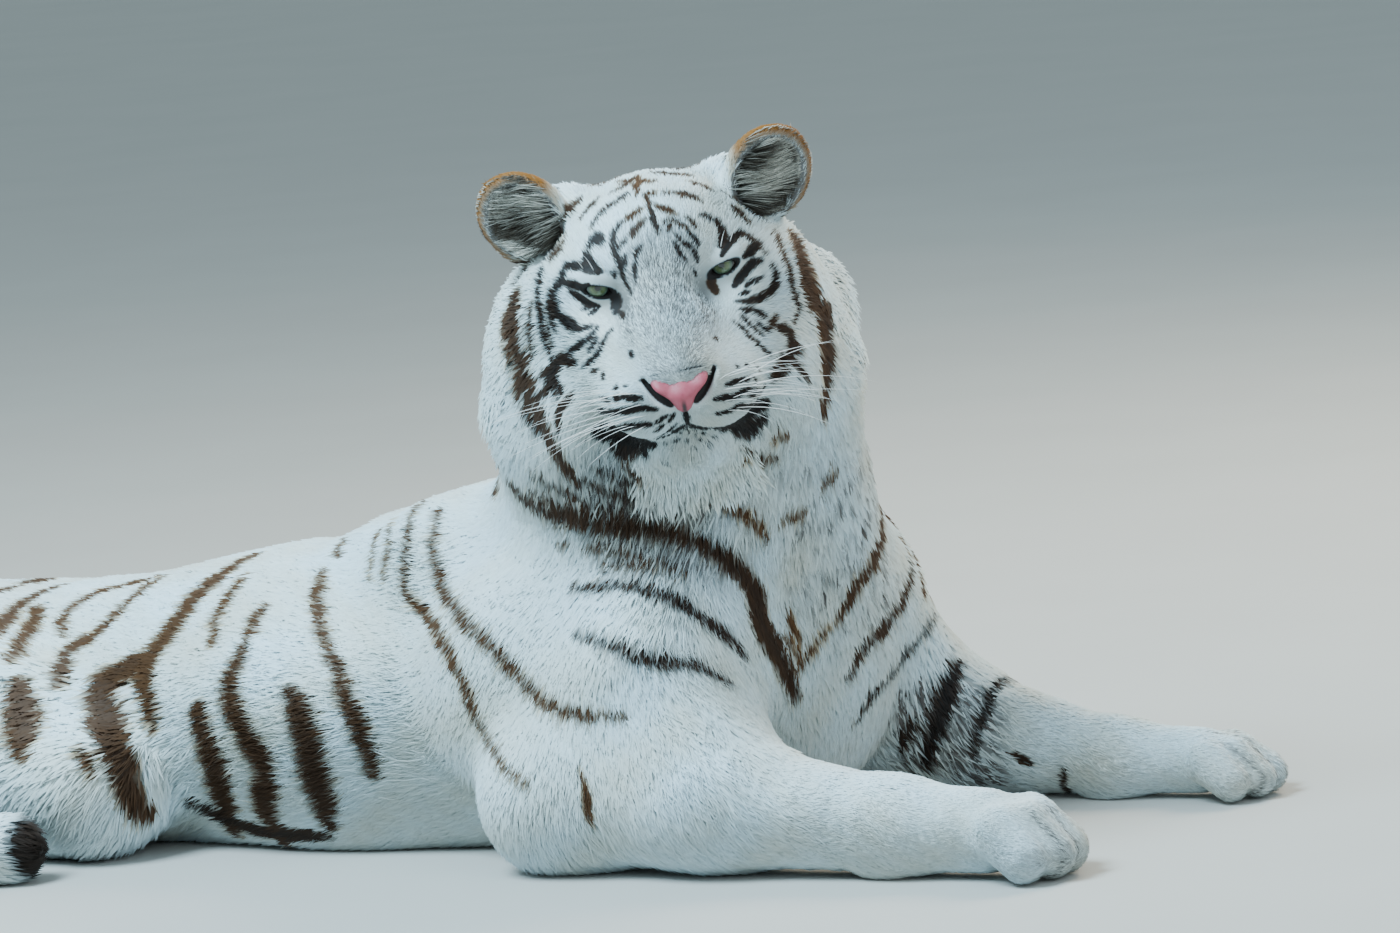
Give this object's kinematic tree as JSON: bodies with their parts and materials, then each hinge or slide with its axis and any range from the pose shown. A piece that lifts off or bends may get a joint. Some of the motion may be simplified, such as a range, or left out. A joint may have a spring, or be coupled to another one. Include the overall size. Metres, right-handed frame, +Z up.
{
  "type": "white tiger",
  "caption": "White tiger at life size, a still museum model lying on its chest with its forelegs stretched forward, its head raised and turned to its right, and its tail laid beside it.",
  "frame": {"origin": "middle of the bounding box of the whole animal, at the floor it lies on", "axes": "+X forward along the stretched forelegs, +Y to the tiger's left, +Z up"},
  "size_m": [1.734, 0.762, 0.6762],
  "materials": {
    "coat": "short dense fur, cool white with dark brown stripes",
    "ear_fur": "short brown fur with an orange-tan rim and long pale hair inside",
    "eye": "wet and glossy, grey-green iris with a small dark pupil",
    "nose_leather": "bare pink skin, finely pebbled, slightly moist",
    "whisker": "stiff white tapered hair",
    "claw": "horn, smooth, almost hidden in the toes"
  },
  "bodies": {
    "root": {"trunk": "coat", "neck": "coat", "tail": "coat", "foreleg_right": "coat", "foreleg_left": "coat", "hindleg_right": "coat", "hindleg_left": "coat", "forepaw_right": "coat", "forepaw_left": "coat", "head": "coat", "ear_right": "ear_fur", "ear_left": "ear_fur", "eye_right": "eye", "eye_left": "eye", "nose": "nose_leather"}
  },
  "joints": []
}
